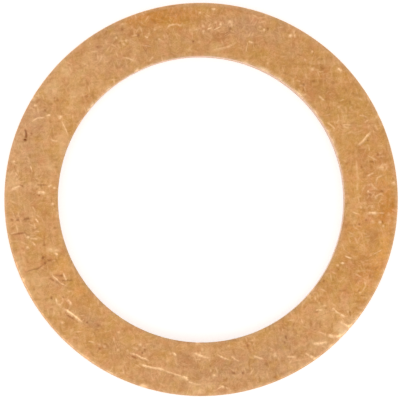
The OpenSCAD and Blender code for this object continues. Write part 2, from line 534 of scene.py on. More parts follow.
# %% [markdown]
# More marks, drawn at random.
#
# The photograph doesn't show the lower face or the walls, and it only hints at the finest marks on
# the upper face. A seeded draw adds them, so that every run gives the same ring. A mark carries the
# way out of the metal at its place, because the same carving serves faces and walls.

# %% A mark on any surface of the ring
MARKS_SEED = 16
draw = random.Random(MARKS_SEED)


def on_face(points, height, out):
    """Millimetre points on a flat face, as places in the ring."""
    return [(Vector((x * MM, y * MM, height)), Vector((0, 0, out))) for x, y in points]


def on_wall(points, r, out):
    """(angle, height) points on a wall, as places in the ring."""
    places = []
    for angle, height in points:
        way = Vector((math.cos(angle), math.sin(angle), 0))
        places.append((way * r + Vector((0, 0, height)), way * out))
    return places


outline_shift = Vector((-0.045, -0.02))
ding_slope = 0.07
dark_depth = 0.006
no_bare = 0.0

seen = list(scratches)
seen += [(width, ding_slope * width, bare, grime_and_shade, [(x, y)]) for x, y, width, bare, grime_and_shade in dings]
seen += [(width, dark_depth, no_bare, grime_and_shade, points) for width, grime_and_shade, points in dark_marks]

marks = []
for width, depth, bare, grime_and_shade, points in seen:
    points = [Vector(point) + outline_shift for point in points]
    marks.append((width * MM, depth * MM, bare, grime_and_shade, on_face(points, thickness, 1)))

# The lower face has had the same life, so every fourth mark comes back there, a quarter turn on
for width, depth, bare, grime_and_shade, points in seen[::4]:
    points = [(-y, x) for x, y in points]
    marks.append((width * MM, depth * MM, bare, grime_and_shade, on_face(points, 0, -1)))


def chance_mark(length):
    """The size of a random mark: most are faint, a few are bright, and a few have dark painted shade
    along their sides.
    """
    width = draw.uniform(0.045, 0.09) * MM
    depth = draw.uniform(0.002, 0.007) * MM
    bare = draw.random() ** 2 * 0.8
    grime_and_shade = draw.random() ** 3 * 0.6
    return width, depth, bare, grime_and_shade, length * draw.uniform(0.4, 1.6) * MM


def scatter_on_face(count, height, out):
    """Short straight scratches in all directions on a flat face, away from its two edges."""
    nearest_r = bore_r / MM + 0.25
    farthest_r = outside_r / MM - 0.3
    for _ in range(count):
        width, depth, bare, grime_and_shade, length = chance_mark(0.35)
        r = math.sqrt(draw.uniform(nearest_r ** 2, farthest_r ** 2))
        angle = draw.uniform(0, math.tau)
        turn = draw.uniform(0, math.pi)
        x, y = r * math.cos(angle), r * math.sin(angle)
        dx, dy = length / MM / 2 * math.cos(turn), length / MM / 2 * math.sin(turn)
        places = on_face([(x - dx, y - dy), (x + dx, y + dy)], height, out)
        marks.append((width, depth, bare, grime_and_shade, places))


def scatter_on_wall(count, r, out):
    """Short scratches on a wall, most of them nearly upright as the punch drew them."""
    lowest = break_h + 0.1 * MM
    highest = thickness - outside_roll
    for _ in range(count):
        width, depth, bare, grime_and_shade, length = chance_mark(0.3)
        angle = draw.uniform(0, math.tau)
        height = draw.uniform(lowest, highest)
        lean = draw.gauss(0, 0.5)
        da, dz = length / 2 * math.sin(lean) / r, length / 2 * math.cos(lean)
        top = min(height + dz, highest)
        places = on_wall([(angle - da, height - dz), (angle + da, top)], r, out)
        marks.append((width, depth, bare, grime_and_shade, places))


scatter_on_face(40, thickness, 1)
scatter_on_face(40, 0, -1)
scatter_on_wall(30, outside_r, 1)
scatter_on_wall(20, bore_r, -1)
print(len(marks), "marks in all")

# %% [markdown]
# Finer mesh under the marks.
#
# A scratch is about a tenth of a millimetre wide, and a mesh fine enough for it all over would be
# far too heavy. The faces near a mark are cut in half again and again, in ever narrower strips, so
# that only the marks themselves pay for their detail.

# %% Refine the mesh near the marks
refine_reaches = (0.14 * MM, 0.08 * MM, 0.042 * MM)
spot_spacing = 0.03 * MM


def steps_along(places, spacing):
    """Evenly spaced points along a mark."""
    spots = [places[0][0]]
    for (here, _), (there, _) in zip(places, places[1:]):
        count = max(1, math.ceil((there - here).length / spacing))
        spots += [here.lerp(there, i / count) for i in range(1, count + 1)]
    return spots


spots = [spot for *_, places in marks for spot in steps_along(places, spot_spacing)]
near_marks = KDTree(len(spots))
for i, spot in enumerate(spots):
    near_marks.insert(spot, i)
near_marks.balance()


def refine(reach):
    """Cuts the faces within reach of a mark into four."""
    faces = [f for f in mesh.faces if near_marks.find(f.calc_center_median())[2] < reach]
    edges = {e for f in faces for e in f.edges}
    bmesh.ops.subdivide_edges(mesh, edges=list(edges), cuts=1, use_grid_fill=True)


for reach in refine_reaches:
    refine(reach)
    print("refined to", len(mesh.faces), "faces")
bmesh.ops.triangulate(mesh, faces=[f for f in mesh.faces if len(f.verts) > 4])

# %% [markdown]
# Carving.
#
# A hard point that scrapes over copper ploughs it: the groove goes down and the metal beside it rises
# in two low lips. Each mark moves the points near it along the way out of the metal, with that
# profile across and a soft run-out at both ends. The same pass writes down where the copper is bare
# and where it is darkened, as two layers that the finish reads later. The darkening is painted shade
# along both sides of a bright mark, and dirt in the bottom of a dark one.

# %% Carve the marks
bare_layer = mesh.verts.layers.float.new("bare")
grime_and_shade_layer = mesh.verts.layers.float.new("grime_and_shade")

mesh.verts.ensure_lookup_table()
near_points = KDTree(len(mesh.verts))
for i, v in enumerate(mesh.verts):
    near_points.insert(v.co, i)
near_points.balance()


def nearest_place(point, places):
    """Distance to a mark, the share of its length there, and the way out of the metal."""
    best = ((point - places[0][0]).length, 0.0, places[0][1])
    lengths = [(b[0] - a[0]).length for a, b in zip(places, places[1:])]
    whole = sum(lengths) or 1.0
    gone = 0.0
    for (here, out), (there, _), length in zip(places, places[1:], lengths):
        share = (point - here).dot(there - here) / length ** 2
        share = min(max(share, 0.0), 1.0)
        distance = (point - here.lerp(there, share)).length
        if distance < best[0]:
            best = (distance, (gone + share * length) / whole, out)
        gone += length
    return best


def bump_shape(x):
    """A smooth hump: 1 in the middle, 0 from 1 on."""
    return (1 - x * x) ** 2 if x < 1 else 0.0


def carve(width, depth, bare, grime_and_shade, places, shifts):
    """Adds one mark to the shifts of the points, and paints its two layers."""
    reach = 1.6 * width
    found = set()
    for spot in steps_along(places, width / 2):
        found.update(i for _, i, _ in near_points.find_range(spot, reach))
    for i in found:
        v = mesh.verts[i]
        distance, along, out = nearest_place(v.co, places)
        across = distance / width
        run_out = 1.0 if len(places) == 1 else min(1.0, 4 * min(along, 1 - along) + 0.3)

        groove = bump_shape(across / 0.5) * run_out
        lip = bump_shape(abs(across - 0.72) / 0.35) * run_out
        shifts[i] = shifts.get(i, Vector()) + out * (0.3 * lip - groove) * depth

        worn = 0.9 + 0.8 * noise.noise(v.co / (0.12 * MM))
        clean = bare * worn * run_out * bump_shape(across / 0.85) ** 0.7
        v[bare_layer] = max(v[bare_layer], min(max(clean, 0.0), 1.0))

        # Painted shade lies along both sides of a bright mark, where its flanks would be shaded, but
        # dirt lies in the bottom of a dark one
        darkened = bump_shape(abs(across - 0.6) / 0.6) if bare else bump_shape(across / 0.65)
        v[grime_and_shade_layer] = max(v[grime_and_shade_layer], grime_and_shade * darkened * run_out)


shifts = {}
for mark in marks:
    carve(*mark, shifts)
for i, shift in shifts.items():
    mesh.verts[i].co += shift
deepest = min(shift.z for i, shift in shifts.items() if mesh.verts[i].co.z > thickness / 2)
print("carved", len(shifts), "points, deepest", round(-deepest / MM, 4), "mm")

# %% [markdown]
# Knocks on the two upper edges.
#
# The ring has been dropped and rattled about. A knock pushes the rounded corner in and leaves a
# small bright flat. Each one is a place on the edge, how far its dent reaches and how deep it goes.

# %% Dent the edges
# angle in degrees, reach along the edge and depth in millimetres, and how bare the dent is
outer_knocks = [
    (252.5, 0.20, 0.045, 1.0),
    (204.3, 0.16, 0.030, 0.7),
    (319.0, 0.20, 0.050, 1.0),
    (315.2, 0.22, 0.060, 1.0),
    (311.5, 0.14, 0.030, 0.6),
    (25.4, 0.12, 0.020, 0.6),
    (149.0, 0.12, 0.020, 0.6),
    (234.0, 0.18, 0.025, 0.4),
    (129.0, 0.14, 0.020, 0.0),
    (76.0, 0.12, 0.015, 0.2),
    (340.0, 0.12, 0.015, 0.2),
    (186.0, 0.12, 0.015, 0.3),
]
inner_knocks = [
    (268.1, 0.12, 0.030, 0.8),
    (116.5, 0.12, 0.025, 0.9),
    (317.5, 0.12, 0.020, 0.6),
    (28.0, 0.14, 0.020, 0.3),
    (72.0, 0.12, 0.020, 0.4),
    (196.0, 0.12, 0.015, 0.3),
]


def knock(angle, reach, depth, bare, r, out):
    """Pushes an upper corner in towards the middle of the metal."""
    inside = 0.05 * MM
    way = Vector((math.cos(math.radians(angle)), math.sin(math.radians(angle)), 0))
    place = way * (r - out * inside) + Vector((0, 0, thickness - inside))
    push = (-way * out + Vector((0, 0, -1))).normalized() * depth * MM
    for _, i, distance in near_points.find_range(place, reach * MM):
        v = mesh.verts[i]
        share = bump_shape(distance / (reach * MM))
        v.co += push * share
        v[bare_layer] = max(v[bare_layer], bare * share ** 0.5)


for angle, reach, depth, bare in outer_knocks:
    knock(angle, reach, depth, bare, outside_r, 1)
for angle, reach, depth, bare in inner_knocks:
    knock(angle, reach, depth, bare, bore_r, -1)
print(len(outer_knocks) + len(inner_knocks), "knocks on the upper edges")

# %% [markdown]
# Unevenness.
#
# Annealed copper is soft and takes on the shape of whatever it lies against. The faces rise and
# fall by a few thousandths of a millimetre, which is enough to make a low light wander over them.

# %% Unevenness of the faces and walls
MICRON = 0.001 * MM
at_face = 0.02 * MM
at_wall = 0.1 * MM


def uneven(place, size, seed):
    """Smooth noise from -1 to 1 with bumps of one size."""
    return noise.noise(place / size + Vector((seed, 0, 0)))


# Both sums stay below zero nearly everywhere, so that the ring doesn't outgrow its solid
for v in mesh.verts:
    r = radius_of(v.co)
    way = Vector((v.co.x / r, v.co.y / r, 0))
    face_rise = 2.5 * uneven(v.co, 1.6 * MM, 3) + 1.2 * uneven(v.co, 0.5 * MM, 8) - 3.0
    wall_rise = 3.0 * uneven(v.co, 1.1 * MM, 21) + 1.5 * uneven(v.co, 0.35 * MM, 30) - 4.0
    if v.co.z > thickness - at_face:
        v.co.z += face_rise * MICRON
    elif v.co.z < at_face:
        v.co.z -= face_rise * MICRON
    side = 1 if r > (bore_r + outside_r) / 2 else -1
    wall_r = outside_r if side > 0 else bore_r
    if abs(r - wall_r) < at_wall:
        v.co += way * side * wall_rise * MICRON
print("lowest point", round(min(v.co.z for v in mesh.verts) / MM, 4), "mm")

# %% [markdown]
# Rubbed edges.
#
# Rings that lie loose in a box rub each other at their corners, and there the tarnish goes first.
# The outer margin is rubbed more than the hole's, because it's the one that rolls and knocks about.

# %% Rub the edges bare
def nearness(past_edge, margin):
    """1 at an edge and beyond it, falling to 0 over a margin inside it."""
    return min(max(past_edge / margin + 1, 0.0), 1.0)


for v in mesh.verts:
    if v.co.z < thickness / 2:
        continue
    r = radius_of(v.co)
    outer = nearness(r - outside_r, 0.28 * MM)
    inner = nearness(bore_r - r, 0.12 * MM)
    patchy = 0.75 + 0.5 * noise.noise(v.co / (0.35 * MM))
    rub = (0.15 * outer ** 1.5 + 0.05 * inner) * patchy
    v[bare_layer] = min(1.0, v[bare_layer] + rub)
print("edges rubbed")

# %% [markdown]
# Patches of tarnish.
#
# Copper that has been handled turns straw, olive, brown and slate in clouds, and where it has been
# rubbed it turns pale. Each cloud that the photograph shows has a place, so they are painted like
# watercolour: a layer of the mesh starts as plain copper everywhere, and every blot draws it a little
# towards its own tint. Broad washes come first and small patches over them, and a place that still
# looks wrong gets one more thin coat. Noise bends the outline of each blot, so that none is a clean
# oval. Two of the broad brown washes are not tarnish but painted shade, which makes the upper part of
# the face darker, and two small cream spots at the outer edge are painted highlights.

# %% The tints of tarnish and of painted light, and where they lie
tints = {
    "copper": Vector((0.599, 0.298, 0.101)),
    "straw": Vector((0.570, 0.224, 0.041)),
    "amber": Vector((0.735, 0.344, 0.090)),
    "bloom": Vector((0.575, 0.309, 0.165)),
    "slate": Vector((0.521, 0.281, 0.135)),
    "olive": Vector((0.563, 0.290, 0.073)),
    "brown": Vector((0.539, 0.245, 0.078)),
    "umber": Vector((0.480, 0.205, 0.062)),
    "pale": Vector((0.773, 0.469, 0.226)),
    "rose": Vector((0.690, 0.309, 0.139)),
    # The last three are painted light, not tarnish: a cream highlight for glints, a paler reflection
    # along the outer edge and a greyer shade along the hole's edge
    "painted highlight": Vector((0.930, 0.700, 0.440)),
    "rim": Vector((0.600, 0.420, 0.280)),
    "painted shade at the hole": Vector((0.500, 0.355, 0.215)),
}
# tint, x, y, half width and half height in millimetres, strength
blots = [
    # Broad washes under the rest. The first two, in brown, are painted shade that darkens the upper
    # part of the face
    ("brown", -0.5, 9.6, 5.0, 1.4, 0.45),
    ("brown", 5.5, 7.8, 2.2, 1.6, 0.3),
    ("olive", 8.4, 4.6, 1.5, 2.4, 0.45),
    ("amber", 9.3, -0.8, 1.6, 4.2, 0.4),
    ("straw", 9.6, -2.4, 1.3, 3.2, 0.15),
    ("olive", 8.2, -4.6, 1.5, 1.6, 0.35),
    ("amber", 8.2, -5.6, 1.2, 1.2, 0.2),
    ("bloom", 2.0, -9.4, 4.5, 1.2, 0.50),
    ("bloom", -9.7, 2.6, 1.2, 3.4, 0.35),
    ("bloom", -3.6, 8.6, 3.2, 1.2, 0.3),
    ("bloom", 2.6, 9.5, 2.2, 0.9, 0.25),
    ("slate", 4.8, -9.0, 2.6, 1.2, 0.35),
    ("slate", 0.0, -10.0, 4.5, 0.8, 0.3),
    ("brown", 9.0, -5.5, 1.2, 1.6, 0.15),
    ("pale", -9.0, -5.4, 0.9, 2.0, 0.2),
    ("pale", -10.3, 0.0, 0.6, 3.0, 0.2),
    # Small coats against the clock from the right, twice round: most dark ones, then most pale ones
    ("brown", 9.5, 0.0, 0.5, 0.6, 0.6),
    ("brown", 10.2, 2.2, 0.4, 0.5, 0.5),
    ("brown", 8.7, 3.9, 0.4, 0.4, 0.3),
    ("slate", 3.0, 9.5, 0.5, 0.7, 0.4),
    ("slate", 1.0, 9.4, 0.5, 0.4, 0.7),
    ("brown", -1.0, 9.4, 0.5, 0.4, 0.4),
    ("brown", -3.0, 9.0, 0.5, 0.5, 0.35),
    ("brown", -4.7, 8.2, 0.5, 0.4, 0.3),
    ("brown", -5.8, -6.4, 0.5, 0.5, 0.4),
    ("slate", -4.9, -8.4, 0.6, 0.6, 0.5),
    ("slate", -2.7, -8.2, 0.5, 0.4, 0.5),
    ("slate", -1.0, -9.1, 0.6, 0.6, 0.6),
    ("slate", 1.1, -10.3, 0.5, 0.4, 0.8),
    ("slate", 2.7, -8.2, 0.4, 0.4, 0.3),
    ("slate", 6.4, -7.1, 0.5, 0.4, 0.5),
    ("brown", 8.1, -5.9, 0.6, 0.5, 0.4),
    ("straw", 9.1, -4.1, 0.7, 0.6, 0.4),
    ("pale", 9.5, 4.2, 0.4, 0.5, 0.5),
    ("pale", 7.9, 3.5, 0.3, 0.5, 0.3),
    ("pale", 7.0, 7.7, 0.4, 0.4, 0.3),
    ("slate", 4.8, 8.2, 0.4, 0.3, 0.3),
    ("pale", -6.5, 7.2, 0.8, 0.8, 0.4),
    ("pale", -8.4, 6.1, 0.5, 0.5, 0.9),
    ("pale", -9.5, 4.2, 0.4, 0.5, 0.4),
    ("pale", -8.4, 1.8, 0.35, 0.6, 0.6),
    ("pale", -8.4, -6.1, 0.5, 0.5, 0.3),
    ("slate", 4.6, -7.8, 0.6, 0.6, 0.5),
    ("pale", 4.6, -7.8, 0.6, 0.6, 0.3),
    ("pale", 3.2, -9.9, 0.5, 0.3, 0.3),
    # A second coat, the same way round
    ("straw", 10.4, -1.1, 0.4, 0.6, 0.9),
    ("amber", 10.2, -3.0, 0.3, 0.5, 0.8),
    ("umber", 9.5, 0.0, 0.6, 0.7, 0.45),
    ("umber", 10.3, 0.0, 0.5, 0.6, 0.15),
    ("umber", 10.2, 2.2, 0.5, 0.5, 0.25),
    ("umber", 8.7, 3.9, 0.4, 0.4, 0.45),
    ("olive", 6.1, 6.75, 0.6, 0.5, 0.30),
    ("pale", 2.7, 8.2, 0.5, 0.4, 0.12),
    ("umber", 2.9, 9.0, 0.6, 0.4, 0.25),
    ("umber", 3.2, 9.9, 0.6, 0.4, 0.20),
    ("umber", 1.0, 9.4, 0.7, 0.5, 0.70),
    ("umber", 1.1, 10.3, 0.5, 0.3, 0.30),
    ("bloom", -0.9, 8.6, 0.5, 0.4, 0.20),
    ("umber", -1.0, 9.4, 0.5, 0.4, 0.20),
    ("pale", -5.8, 6.4, 0.4, 0.4, 0.30),
    ("umber", -6.4, 7.1, 0.4, 0.4, 0.15),
    ("umber", -9.5, 0.0, 0.4, 0.6, 0.12),
    ("pale", -8.4, -1.8, 0.4, 0.5, 0.30),
    ("umber", -8.7, -3.9, 0.4, 0.4, 0.12),
    ("umber", -1.0, -9.2, 0.6, 0.7, 0.25),
    ("slate", -1.1, -10.3, 0.5, 0.3, 0.25),
    ("umber", 1.1, -10.3, 0.5, 0.35, 0.30),
    ("umber", 1.0, -9.2, 0.6, 0.6, 0.14),
    ("slate", 2.7, -8.2, 0.4, 0.4, 0.30),
    ("bloom", 4.8, -8.2, 0.5, 0.4, 0.30),
    ("umber", 7.7, -5.6, 0.4, 0.4, 0.15),
    ("umber", 8.4, -6.1, 0.5, 0.5, 0.45),
    ("olive", 8.4, -6.1, 0.5, 0.5, 0.40),
    ("umber", 8.8, -3.9, 0.8, 0.6, 0.60),
    ("straw", 9.2, -4.1, 0.7, 0.5, 0.80),
    # A third coat, where two were not enough
    ("pale", 4.8, 8.2, 0.5, 0.4, 0.15),
    ("pale", -7.0, 5.1, 0.4, 0.5, 0.20),
    ("amber", -7.9, -3.5, 0.4, 0.4, 0.30),
    ("amber", -1.1, 10.3, 0.6, 0.3, 0.35),
    ("umber", 1.1, -10.3, 0.5, 0.3, 0.15),
    ("slate", -1.0, -9.2, 0.6, 0.6, 0.25),
    ("slate", 2.7, -8.2, 0.4, 0.4, 0.30),
    ("umber", 1.0, 9.4, 0.5, 0.4, 0.30),
    ("umber", 2.9, 9.0, 0.5, 0.4, 0.16),
    ("umber", 3.2, 9.9, 0.5, 0.4, 0.18),
    ("umber", 1.0, -9.4, 0.5, 0.4, 0.18),
    ("umber", 1.1, -10.3, 0.5, 0.3, 0.25),
    ("umber", -1.0, -9.4, 0.5, 0.4, 0.18),
    ("straw", 8.7, 3.9, 0.5, 0.4, 0.15),
    ("straw", 9.5, 4.2, 0.4, 0.5, 0.20),
    ("straw", 8.4, -6.1, 0.4, 0.4, 0.18),
    # Round the top, from left to right
    ("bloom", -5.5, 8.0, 0.8, 0.7, 0.45),
    ("bloom", -4.2, 7.5, 0.6, 0.4, 0.55),
    ("slate", -4.8, 9.2, 0.7, 0.5, 0.4),
    ("brown", -3.6, 9.3, 0.7, 0.5, 0.5),
    ("amber", -3.9, 10.2, 0.5, 0.3, 0.4),
    ("straw", -2.4, 10.15, 1.5, 0.55, 1.0),
    ("straw", -0.6, 10.35, 1.0, 0.5, 0.25),
    ("slate", 0.3, 9.5, 0.5, 0.6, 0.4),
    ("pale", 0.8, 8.5, 0.5, 0.25, 0.4),
    ("slate", 1.7, 9.7, 0.6, 0.5, 0.65),
    ("bloom", 2.5, 9.6, 0.8, 0.6, 0.65),
    ("olive", 3.1, 8.0, 0.9, 0.4, 0.65),
    ("slate", 4.3, 9.2, 0.6, 0.5, 0.55),
    ("slate", 5.5, 8.5, 0.5, 0.4, 0.3),
    # Down the right side
    ("brown", 6.0, 6.2, 0.6, 0.6, 1.0),
    ("brown", 6.8, 7.0, 0.6, 0.5, 1.0),
    ("brown", 7.3, 5.8, 0.5, 0.5, 0.8),
    ("olive", 8.2, 6.1, 0.6, 0.6, 0.8),
    ("straw", 8.2, 6.8, 0.3, 0.3, 0.5),
    ("pale", 8.3, 4.1, 0.5, 0.7, 0.4),
    ("olive", 8.0, 4.4, 1.0, 1.2, 0.4),
    ("brown", 9.1, 2.5, 0.5, 0.5, 0.7),
    ("brown", 9.5, 1.6, 0.5, 0.5, 0.7),
    ("brown", 9.4, 0.4, 0.4, 0.4, 0.9),
    ("brown", 9.3, -0.6, 0.4, 0.5, 0.45),
    ("amber", 10.3, 0.8, 0.4, 0.6, 0.3),
    ("straw", 10.4, -0.3, 0.4, 0.7, 1.0),
    ("pale", 8.4, -0.6, 0.3, 0.6, 0.3),
    ("brown", 9.6, -2.1, 0.5, 0.5, 1.0),
    ("amber", 10.3, -2.6, 0.35, 0.8, 0.7),
    ("amber", 9.9, -3.8, 0.5, 0.7, 0.8),
    ("amber", 9.0, -4.8, 0.6, 0.4, 0.45),
    ("straw", 8.6, -3.9, 0.6, 0.5, 0.5),
    ("brown", 8.6, -3.9, 0.7, 0.6, 1.0),
    ("olive", 7.3, -4.3, 0.5, 0.6, 0.6),
    ("rose", 7.4, -3.9, 0.25, 0.2, 0.7),
    ("rose", 8.9, -4.5, 0.4, 0.3, 0.5),
    ("brown", 9.45, -4.25, 0.15, 0.3, 0.9),
    ("straw", 9.4, -4.2, 0.5, 0.5, 0.45),
    ("umber", 8.7, -3.9, 0.4, 0.4, 0.20),
    ("straw", 8.7, -3.9, 0.4, 0.4, 0.20),
    ("pale", 8.1, -5.9, 0.5, 0.4, 0.5),
    ("pale", 6.7, -6.4, 0.6, 0.4, 0.5),
    # Along the foot, from right to left
    ("pale", 8.0, -7.2, 0.7, 0.5, 1.0),
    ("bloom", 6.7, -8.2, 0.7, 0.4, 0.55),
    ("pale", 6.7, -8.2, 0.8, 0.4, 0.5),
    ("pale", 5.5, -9.2, 0.6, 0.4, 0.3),
    ("slate", 4.4, -8.3, 0.5, 0.5, 0.5),
    ("slate", 3.6, -9.0, 0.7, 0.5, 0.7),
    ("olive", 2.5, -8.1, 0.5, 0.3, 0.6),
    ("slate", 1.4, -9.6, 0.9, 0.6, 0.65),
    ("bloom", 0.0, -10.4, 0.9, 0.4, 0.35),
    ("pale", 0.0, -10.5, 0.8, 0.3, 0.4),
    ("pale", 0.1, -8.6, 0.5, 0.3, 0.45),
    ("slate", -1.7, -8.3, 0.5, 0.3, 0.45),
    ("slate", -2.8, -10.0, 0.9, 0.4, 0.35),
    ("bloom", -3.6, -8.5, 0.8, 0.5, 0.35),
    ("brown", -5.5, -8.4, 0.6, 0.4, 0.6),
    ("pale", -7.2, -8.4, 0.5, 0.3, 0.4),
    ("pale", -8.4, -7.9, 0.5, 0.4, 0.5),
    # Finer spots along the foot, the same way
    # The two cream spots are painted highlights where the gouges run over the outer edge
    ("painted highlight", 7.85, -7.60, 0.16, 0.13, 1.0),
    ("painted highlight", 8.18, -7.28, 0.14, 0.14, 0.9),
    ("pale", -0.15, -10.75, 0.45, 0.12, 0.9),
    ("pale", -1.2, -9.92, 0.25, 0.12, 0.6),
    ("pale", 1.4, -10.7, 0.15, 0.1, 0.6),
    ("amber", 4.35, -9.95, 0.2, 0.1, 0.8),
    ("brown", 2.58, -8.15, 0.25, 0.2, 1.0),
    ("brown", 0.62, -9.05, 0.12, 0.4, 0.7),
    ("umber", 4.7, -7.3, 0.25, 0.35, 0.5),
    ("rose", 5.4, -6.6, 0.25, 0.3, 0.5),
    ("rose", -4.25, -9.9, 0.3, 0.12, 0.6),
    ("rose", -5.3, -9.25, 0.3, 0.2, 0.7),
    ("rose", -6.4, -8.6, 0.25, 0.15, 0.7),
    # Up the left side
    ("brown", -6.46, -5.7, 0.3, 0.2, 0.8),
    ("slate", -8.1, -4.72, 0.2, 0.2, 0.8),
    ("rose", -9.7, -3.95, 0.2, 0.2, 0.6),
    ("slate", -6.1, -6.8, 0.5, 0.4, 0.7),
    ("amber", -6.9, -5.1, 0.4, 0.5, 0.5),
    ("amber", -7.8, -3.9, 0.35, 0.35, 0.6),
    ("brown", -8.6, -3.55, 0.4, 0.4, 1.0),
    ("pale", -10.2, -3.7, 0.3, 0.5, 0.7),
    ("pale", -9.5, -4.8, 0.6, 0.8, 0.4),
    ("slate", -9.8, -1.8, 0.5, 0.5, 0.45),
    ("slate", -10.0, -0.9, 0.4, 0.4, 0.35),
    ("olive", -9.0, -0.5, 0.5, 0.4, 0.65),
    ("slate", -9.7, 0.6, 0.4, 0.4, 0.3),
    ("bloom", -10.5, 1.0, 0.3, 0.5, 0.45),
    ("pale", -10.5, 1.0, 0.3, 0.5, 0.6),
    ("slate", -9.6, 2.2, 0.4, 0.5, 0.45),
    ("pale", -7.8, 2.9, 0.35, 1.0, 0.5),
    ("bloom", -10.0, 3.2, 0.5, 0.8, 0.55),
    ("pale", -10.1, 3.2, 0.4, 0.7, 0.45),
    ("bloom", -9.2, 4.6, 0.7, 0.9, 0.7),
    ("pale", -7.1, 6.0, 0.5, 0.5, 0.45),
    ("pale", -7.6, 7.2, 0.5, 0.5, 0.45),
    # Last touches over all of it
    ("umber", -8.85, -0.7, 0.22, 0.28, 0.60),
    ("rose", -8.75, -1.7, 0.12, 0.35, 0.60),
    ("pale", -8.25, -2.85, 0.35, 0.12, 0.70),
    ("umber", 5.9, -7.75, 0.30, 0.15, 0.50),
    ("umber", 3.7, -9.2, 0.20, 0.25, 0.40),
    ("slate", -7.1, -6.4, 0.5, 0.4, 0.35),
    ("straw", 0.0, 10.3, 0.6, 0.3, 0.20),
    ("rose", 8.3, 6.1, 0.5, 0.5, 0.30),
    ("slate", 5.4, -7.4, 0.6, 0.6, 0.30),
    ("rose", -8.5, -1.8, 0.4, 0.5, 0.30),
    ("olive", 2.7, -8.3, 0.5, 0.4, 0.30),
    ("rose", 7.7, 3.8, 0.4, 0.6, 0.20),
    ("straw", 7.7, 3.8, 0.4, 0.6, 0.12),
    ("pale", 3.9, 8.7, 0.5, 0.4, 0.12),
    ("pale", -9.0, 2.9, 0.5, 0.5, 0.22),
    ("pale", -8.2, 4.7, 0.4, 0.4, 0.10),
    ("umber", 8.3, -6.1, 0.5, 0.4, 0.30),
    ("umber", 9.5, 0.0, 0.5, 0.4, 0.18),
    ("umber", -10.2, 1.1, 0.3, 0.4, 0.25),
    ("pale", -10.4, 0.0, 0.3, 0.4, 0.18),
    ("bloom", -5.1, 7.0, 0.5, 0.4, 0.25),
    ("umber", 1.0, 9.4, 0.4, 0.4, 0.22),
    ("straw", 8.8, -4.0, 0.5, 0.4, 0.25),
    ("umber", 8.7, -3.9, 0.4, 0.4, 0.12),
    ("bloom", -7.7, -4.6, 0.4, 0.4, 0.15),
    ("rose", -10.3, -1.1, 0.3, 0.4, 0.25),
]
print(len(blots), "patches of tarnish by hand")

# %% [markdown]
# Painted highlights: glints along the two upper edges.
#
# Where the rounded corner of an edge has been burnished, it throws a short bright glint. Here each
# glint is a painted highlight: it lies along the edge and is barely a tenth of a millimetre wide, so
# it is painted as part of the tarnish layer, in cream, and needs no mesh of its own.

# %% Where the edges glint
# from and to in degrees, width in millimetres, strength
hole_glints = [
    (14, 75, 0.07, 0.12),
    (70, 74, 0.08, 0.5), (60.5, 67.5, 0.12, 0.8), (55, 59.5, 0.10, 0.6), (43.5, 50.5, 0.10, 0.8),
    (36, 38.5, 0.09, 0.8), (32.5, 34.5, 0.09, 0.7), (27, 30, 0.09, 0.6), (22, 26, 0.10, 0.6),
    (17.5, 19.5, 0.08, 0.5), (108, 114, 0.07, 0.4), (116.2, 117.4, 0.11, 0.9),
    (128, 132.5, 0.10, 0.7), (133, 137.5, 0.07, 0.4), (138.6, 139.8, 0.10, 0.9),
    (141, 142, 0.10, 0.9), (146.5, 147.5, 0.09, 0.7),
]
rim_glints = [
    (241, 243, 0.11, 0.8), (235.5, 237, 0.10, 0.6), (231.5, 233, 0.10, 0.7), (228, 229, 0.10, 0.7),
    (225, 226, 0.09, 0.5), (215, 217, 0.09, 0.4), (338, 339, 0.10, 0.6), (333, 335, 0.10, 0.5),
    (330, 331, 0.10, 0.6), (326, 327, 0.10, 0.7), (321, 323, 0.12, 0.8), (314, 318, 0.14, 1.0),
    (310, 312.5, 0.10, 0.6), (305, 307, 0.10, 0.7), (296, 297, 0.08, 0.4), (289, 290, 0.08, 0.4),
]
glint_fade = 0.5  # degrees past both ends
glint_spread = 1.3
glint_gain = 1.3


def glint_at(point, glints, edge_r):
    """How strongly the painted highlight of an edge glint shows at one point, from 0 to 1."""
    degrees = math.degrees(math.atan2(point.y, point.x)) % 360
    away = abs(radius_of(point) - edge_r)
    found = 0.0
    for start, end, width, strength in glints:
        half_length = (end - start) / 2 + glint_fade
        along = bump_shape(abs(degrees - (start + end) / 2) / half_length)
        across = bump_shape(away / (glint_spread * width * MM))
        found = max(found, glint_gain * strength * along * across)
    return min(found, 1.0)


print(len(hole_glints) + len(rim_glints), "glints on the upper edges")

# %% [markdown]
# Painting the layer.
#
# Every point of the mesh gets one colour: the clouds first, then painted light along both edges, a
# paler, greyer reflection along the outer margin and a greyer, duller shade along the hole's margin,
# and the painted highlights of the glints over that. The lower face takes the same clouds, a quarter
# turn on.

# %% Paint the tarnish and the painted light
PATCH_STRENGTH = 1.1
blot_spread = 1.7
bend = 0.3  # mm
bend_size = 0.7 * MM
near_edge = 0.3 * MM
far_off = Vector((9, 9, 9))


def clouds_at(point, upper):
    """The colour of the clouds at one point of the ring."""
    x, y = (point.x, point.y) if upper else (point.y, -point.x)
    x = x / MM + bend * noise.noise(point / bend_size)
    y = y / MM + bend * noise.noise(point / bend_size + far_off)
    colour = tints["copper"].copy()
    for tint, middle_x, middle_y, half_width, half_height, strength in blots:
        away = math.hypot((x - middle_x) / half_width, (y - middle_y) / half_height) / blot_spread
        if away < 1:
            colour = colour.lerp(tints[tint], PATCH_STRENGTH * strength * bump_shape(away))
    return colour


